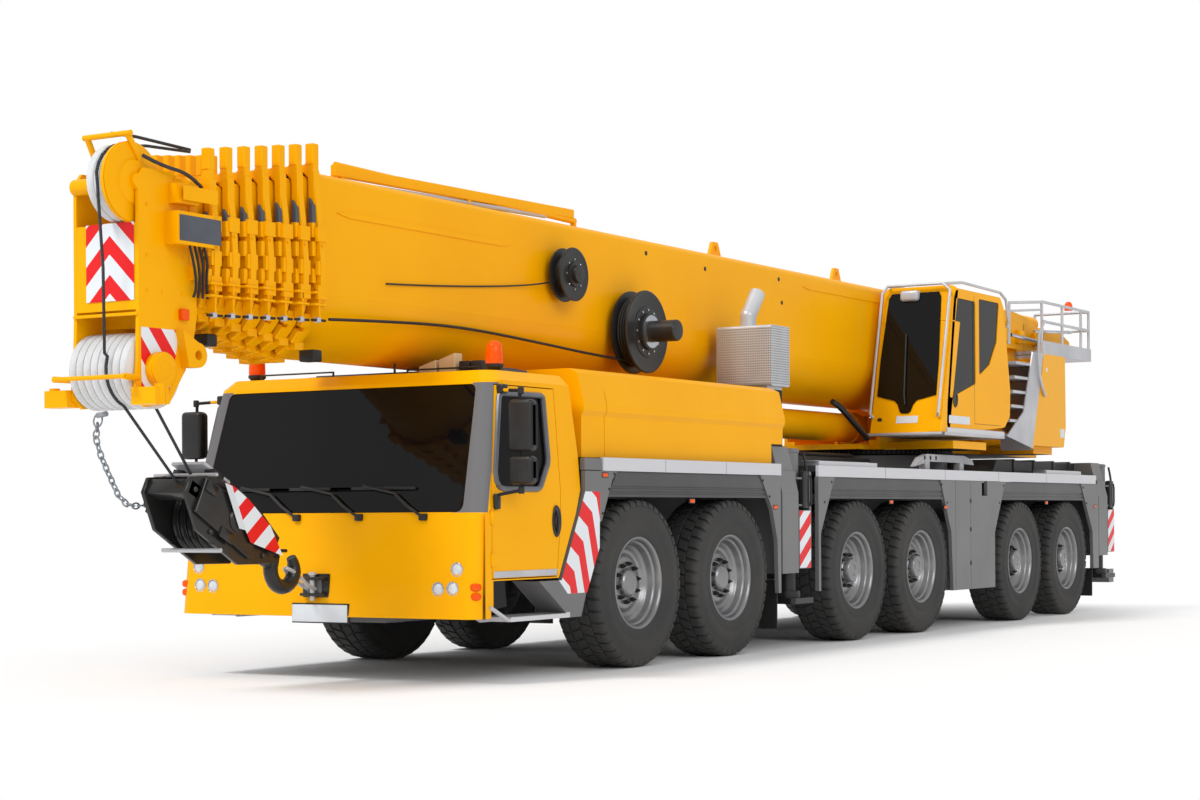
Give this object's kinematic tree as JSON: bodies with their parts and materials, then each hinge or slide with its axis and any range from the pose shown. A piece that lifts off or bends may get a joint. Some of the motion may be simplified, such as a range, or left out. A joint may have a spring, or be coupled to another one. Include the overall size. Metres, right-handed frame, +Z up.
{
  "type": "six-axle mobile crane",
  "caption": "Yellow six-axle mobile crane with its telescopic boom lowered forward over the driver's cab, outriggers in and hook block tied to the bumper.",
  "frame": {"origin": "on the ground, under the middle of the overall length and width", "axes": "+X to the front of the carrier, +Y to its left side, +Z up"},
  "size_m": [18.016, 3.51, 4.1099],
  "materials": {
    "yellow": "gloss",
    "chassis_grey": "satin",
    "axle_grey": "satin",
    "dark_grey": "satin",
    "silver": "satin",
    "tyre": "matte",
    "dark_glass": "gloss",
    "chrome": "gloss",
    "white": "gloss",
    "black": "satin"
  },
  "bodies": {
    "wheel_1_left": {"wheel_1_left": "tyre"},
    "wheel_1_right": {"wheel_1_right": "tyre"},
    "wheel_2_left": {"wheel_2_left": "tyre"},
    "wheel_2_right": {"wheel_2_right": "tyre"},
    "wheel_3_left": {"wheel_3_left": "tyre"},
    "wheel_3_right": {"wheel_3_right": "tyre"},
    "wheel_4_left": {"wheel_4_left": "tyre"},
    "wheel_4_right": {"wheel_4_right": "tyre"},
    "wheel_5_left": {"wheel_5_left": "tyre"},
    "wheel_5_right": {"wheel_5_right": "tyre"},
    "wheel_6_left": {"wheel_6_left": "tyre"},
    "wheel_6_right": {"wheel_6_right": "tyre"},
    "knuckle_1_left": {"knuckle_1_left": "axle_grey"},
    "knuckle_1_right": {"knuckle_1_right": "axle_grey"},
    "knuckle_2_left": {"knuckle_2_left": "axle_grey"},
    "knuckle_2_right": {"knuckle_2_right": "axle_grey"},
    "knuckle_3_left": {"knuckle_3_left": "axle_grey"},
    "knuckle_3_right": {"knuckle_3_right": "axle_grey"},
    "knuckle_5_left": {"knuckle_5_left": "axle_grey"},
    "knuckle_5_right": {"knuckle_5_right": "axle_grey"},
    "knuckle_6_left": {"knuckle_6_left": "axle_grey"},
    "knuckle_6_right": {"knuckle_6_right": "axle_grey"},
    "carrier": {"axle_beams": "axle_grey", "chassis_frame": "chassis_grey", "carrier_deck": "silver", "wheel_arch_bands": "dark_grey", "side_panels": "chassis_grey", "driver_cab": "yellow", "cab_glass_and_lamps": "dark_glass", "engine_hood": "yellow", "engine_block": "axle_grey", "exhaust": "chrome"},
    "outrigger_beam_front_left": {"outrigger_beam_front_left": "chassis_grey"},
    "outrigger_jack_front_left": {"outrigger_jack_front_left": "chrome"},
    "outrigger_beam_front_right": {"outrigger_beam_front_right": "chassis_grey"},
    "outrigger_jack_front_right": {"outrigger_jack_front_right": "chrome"},
    "outrigger_beam_rear_left": {"outrigger_beam_rear_left": "chassis_grey"},
    "outrigger_jack_rear_left": {"outrigger_jack_rear_left": "chrome"},
    "outrigger_beam_rear_right": {"outrigger_beam_rear_right": "chassis_grey"},
    "outrigger_jack_rear_right": {"outrigger_jack_rear_right": "chrome"},
    "cab_door_left": {"cab_door_left": "yellow"},
    "cab_door_right": {"cab_door_right": "yellow"},
    "superstructure": {"superstructure": "yellow", "side_walkway": "yellow", "hoist_winch": "yellow", "crane_cab": "yellow", "crane_cab_glass": "dark_glass"},
    "boom_base": {"boom_base": "yellow", "cable_reels": "black"},
    "boom_section_1": {"boom_section_1": "yellow"},
    "boom_section_2": {"boom_section_2": "yellow"},
    "boom_section_3": {"boom_section_3": "yellow"},
    "boom_section_4": {"boom_section_4": "yellow"},
    "boom_section_5": {"boom_section_5": "yellow"},
    "boom_section_6": {"boom_section_6": "yellow"},
    "boom_section_7": {"boom_section_7": "yellow", "head_sheaves": "white", "hook_block": "black"},
    "luffing_barrel": {"luffing_barrel": "yellow"},
    "luffing_rod": {"luffing_rod": "chrome"}
  },
  "joints": [
    {"name": "steer_1_left", "type": "hinge", "parent": "carrier", "child": "knuckle_1_left", "pos_m": [4, 0.985, 0.71], "axis": [0, 0, 1], "range_deg": [-35, 35]},
    {"name": "roll_1_left", "type": "hinge", "parent": "knuckle_1_left", "child": "wheel_1_left", "pos_m": [4, 1.262, 0.71], "axis": [0, 1, 0], "continuous": true},
    {"name": "steer_1_right", "type": "hinge", "parent": "carrier", "child": "knuckle_1_right", "pos_m": [4, -0.985, 0.71], "axis": [0, 0, 1], "range_deg": [-35, 35]},
    {"name": "roll_1_right", "type": "hinge", "parent": "knuckle_1_right", "child": "wheel_1_right", "pos_m": [4, -1.262, 0.71], "axis": [0, 1, 0], "continuous": true},
    {"name": "steer_2_left", "type": "hinge", "parent": "carrier", "child": "knuckle_2_left", "pos_m": [2.35, 0.985, 0.71], "axis": [0, 0, 1], "range_deg": [-28, 28]},
    {"name": "roll_2_left", "type": "hinge", "parent": "knuckle_2_left", "child": "wheel_2_left", "pos_m": [2.35, 1.262, 0.71], "axis": [0, 1, 0], "continuous": true},
    {"name": "steer_2_right", "type": "hinge", "parent": "carrier", "child": "knuckle_2_right", "pos_m": [2.35, -0.985, 0.71], "axis": [0, 0, 1], "range_deg": [-28, 28]},
    {"name": "roll_2_right", "type": "hinge", "parent": "knuckle_2_right", "child": "wheel_2_right", "pos_m": [2.35, -1.262, 0.71], "axis": [0, 1, 0], "continuous": true},
    {"name": "steer_3_left", "type": "hinge", "parent": "carrier", "child": "knuckle_3_left", "pos_m": [-0.37, 0.985, 0.71], "axis": [0, 0, 1], "range_deg": [-18, 18]},
    {"name": "roll_3_left", "type": "hinge", "parent": "knuckle_3_left", "child": "wheel_3_left", "pos_m": [-0.37, 1.262, 0.71], "axis": [0, 1, 0], "continuous": true},
    {"name": "steer_3_right", "type": "hinge", "parent": "carrier", "child": "knuckle_3_right", "pos_m": [-0.37, -0.985, 0.71], "axis": [0, 0, 1], "range_deg": [-18, 18]},
    {"name": "roll_3_right", "type": "hinge", "parent": "knuckle_3_right", "child": "wheel_3_right", "pos_m": [-0.37, -1.262, 0.71], "axis": [0, 1, 0], "continuous": true},
    {"name": "roll_4_left", "type": "hinge", "parent": "carrier", "child": "wheel_4_left", "pos_m": [-2.02, 1.262, 0.71], "axis": [0, 1, 0], "continuous": true},
    {"name": "roll_4_right", "type": "hinge", "parent": "carrier", "child": "wheel_4_right", "pos_m": [-2.02, -1.262, 0.71], "axis": [0, 1, 0], "continuous": true},
    {"name": "steer_5_left", "type": "hinge", "parent": "carrier", "child": "knuckle_5_left", "pos_m": [-4.99, 0.985, 0.71], "axis": [0, 0, 1], "range_deg": [-18, 18]},
    {"name": "roll_5_left", "type": "hinge", "parent": "knuckle_5_left", "child": "wheel_5_left", "pos_m": [-4.99, 1.262, 0.71], "axis": [0, 1, 0], "continuous": true},
    {"name": "steer_5_right", "type": "hinge", "parent": "carrier", "child": "knuckle_5_right", "pos_m": [-4.99, -0.985, 0.71], "axis": [0, 0, 1], "range_deg": [-18, 18]},
    {"name": "roll_5_right", "type": "hinge", "parent": "knuckle_5_right", "child": "wheel_5_right", "pos_m": [-4.99, -1.262, 0.71], "axis": [0, 1, 0], "continuous": true},
    {"name": "steer_6_left", "type": "hinge", "parent": "carrier", "child": "knuckle_6_left", "pos_m": [-6.64, 0.985, 0.71], "axis": [0, 0, 1], "range_deg": [-28, 28]},
    {"name": "roll_6_left", "type": "hinge", "parent": "knuckle_6_left", "child": "wheel_6_left", "pos_m": [-6.64, 1.262, 0.71], "axis": [0, 1, 0], "continuous": true},
    {"name": "steer_6_right", "type": "hinge", "parent": "carrier", "child": "knuckle_6_right", "pos_m": [-6.64, -0.985, 0.71], "axis": [0, 0, 1], "range_deg": [-28, 28]},
    {"name": "roll_6_right", "type": "hinge", "parent": "knuckle_6_right", "child": "wheel_6_right", "pos_m": [-6.64, -1.262, 0.71], "axis": [0, 1, 0], "continuous": true},
    {"name": "extend_front_left", "type": "slide", "parent": "carrier", "child": "outrigger_beam_front_left", "axis": [0, 1, 0], "range_m": [0, 2.1]},
    {"name": "jack_front_left", "type": "slide", "parent": "outrigger_beam_front_left", "child": "outrigger_jack_front_left", "axis": [0, 0, -1], "range_m": [0, 0.6]},
    {"name": "extend_front_right", "type": "slide", "parent": "carrier", "child": "outrigger_beam_front_right", "axis": [0, -1, 0], "range_m": [0, 2.1]},
    {"name": "jack_front_right", "type": "slide", "parent": "outrigger_beam_front_right", "child": "outrigger_jack_front_right", "axis": [0, 0, -1], "range_m": [0, 0.6]},
    {"name": "extend_rear_left", "type": "slide", "parent": "carrier", "child": "outrigger_beam_rear_left", "axis": [0, 1, 0], "range_m": [0, 2.1]},
    {"name": "jack_rear_left", "type": "slide", "parent": "outrigger_beam_rear_left", "child": "outrigger_jack_rear_left", "axis": [0, 0, -1], "range_m": [0, 0.6]},
    {"name": "extend_rear_right", "type": "slide", "parent": "carrier", "child": "outrigger_beam_rear_right", "axis": [0, -1, 0], "range_m": [0, 2.1]},
    {"name": "jack_rear_right", "type": "slide", "parent": "outrigger_beam_rear_right", "child": "outrigger_jack_rear_right", "axis": [0, 0, -1], "range_m": [0, 0.6]},
    {"name": "open_cab_door_left", "type": "hinge", "parent": "carrier", "child": "cab_door_left", "pos_m": [6.235, 1.484, 1.11], "axis": [0, 0, -1], "range_deg": [0, 70]},
    {"name": "open_cab_door_right", "type": "hinge", "parent": "carrier", "child": "cab_door_right", "pos_m": [6.235, -1.484, 1.11], "axis": [0, 0, 1], "range_deg": [0, 70]},
    {"name": "slew", "type": "hinge", "parent": "carrier", "child": "superstructure", "pos_m": [-3.8, 0, 1.98], "axis": [0, 0, 1], "continuous": true},
    {"name": "luff", "type": "hinge", "parent": "superstructure", "child": "boom_base", "pos_m": [-6.3, 0, 3.33], "axis": [0, -1, 0], "range_deg": [0, 82]},
    {"name": "telescope_1", "type": "slide", "parent": "boom_base", "child": "boom_section_1", "axis": [1, 0, 0], "range_m": [0, 10.6]},
    {"name": "telescope_2", "type": "slide", "parent": "boom_section_1", "child": "boom_section_2", "axis": [1, 0, 0], "range_m": [0, 10.6]},
    {"name": "telescope_3", "type": "slide", "parent": "boom_section_2", "child": "boom_section_3", "axis": [1, 0, 0], "range_m": [0, 10.6]},
    {"name": "telescope_4", "type": "slide", "parent": "boom_section_3", "child": "boom_section_4", "axis": [1, 0, 0], "range_m": [0, 10.6]},
    {"name": "telescope_5", "type": "slide", "parent": "boom_section_4", "child": "boom_section_5", "axis": [1, 0, 0], "range_m": [0, 10.6]},
    {"name": "telescope_6", "type": "slide", "parent": "boom_section_5", "child": "boom_section_6", "axis": [1, 0, 0], "range_m": [0, 10.6]},
    {"name": "telescope_7", "type": "slide", "parent": "boom_section_6", "child": "boom_section_7", "axis": [1, 0, 0], "range_m": [0, 10.6]},
    {"name": "barrel_tilt", "type": "hinge", "parent": "superstructure", "child": "luffing_barrel", "pos_m": [-3.55, 0, 2.28], "axis": [0, -1, 0], "range_deg": [0, 96]},
    {"name": "rod_out", "type": "slide", "parent": "luffing_barrel", "child": "luffing_rod", "axis": [1, 0, 0], "range_m": [0, 3.6]}
  ],
  "couplings": [
    {"joint": "steer_1_right", "follows": "steer_1_left", "ratio": 1},
    {"joint": "steer_2_left", "follows": "steer_1_left", "ratio": 0.8},
    {"joint": "steer_2_right", "follows": "steer_1_left", "ratio": 0.8},
    {"joint": "steer_3_left", "follows": "steer_1_left", "ratio": 0.51429},
    {"joint": "steer_3_right", "follows": "steer_1_left", "ratio": 0.51429},
    {"joint": "steer_5_left", "follows": "steer_6_left", "ratio": 0.64286},
    {"joint": "steer_5_right", "follows": "steer_6_left", "ratio": 0.64286},
    {"joint": "steer_6_right", "follows": "steer_6_left", "ratio": 1},
    {"joint": "barrel_tilt", "follows": "luff", "ratio": 1.165},
    {"joint": "rod_out", "follows": "luff", "m_per_rad": 2.476}
  ]
}
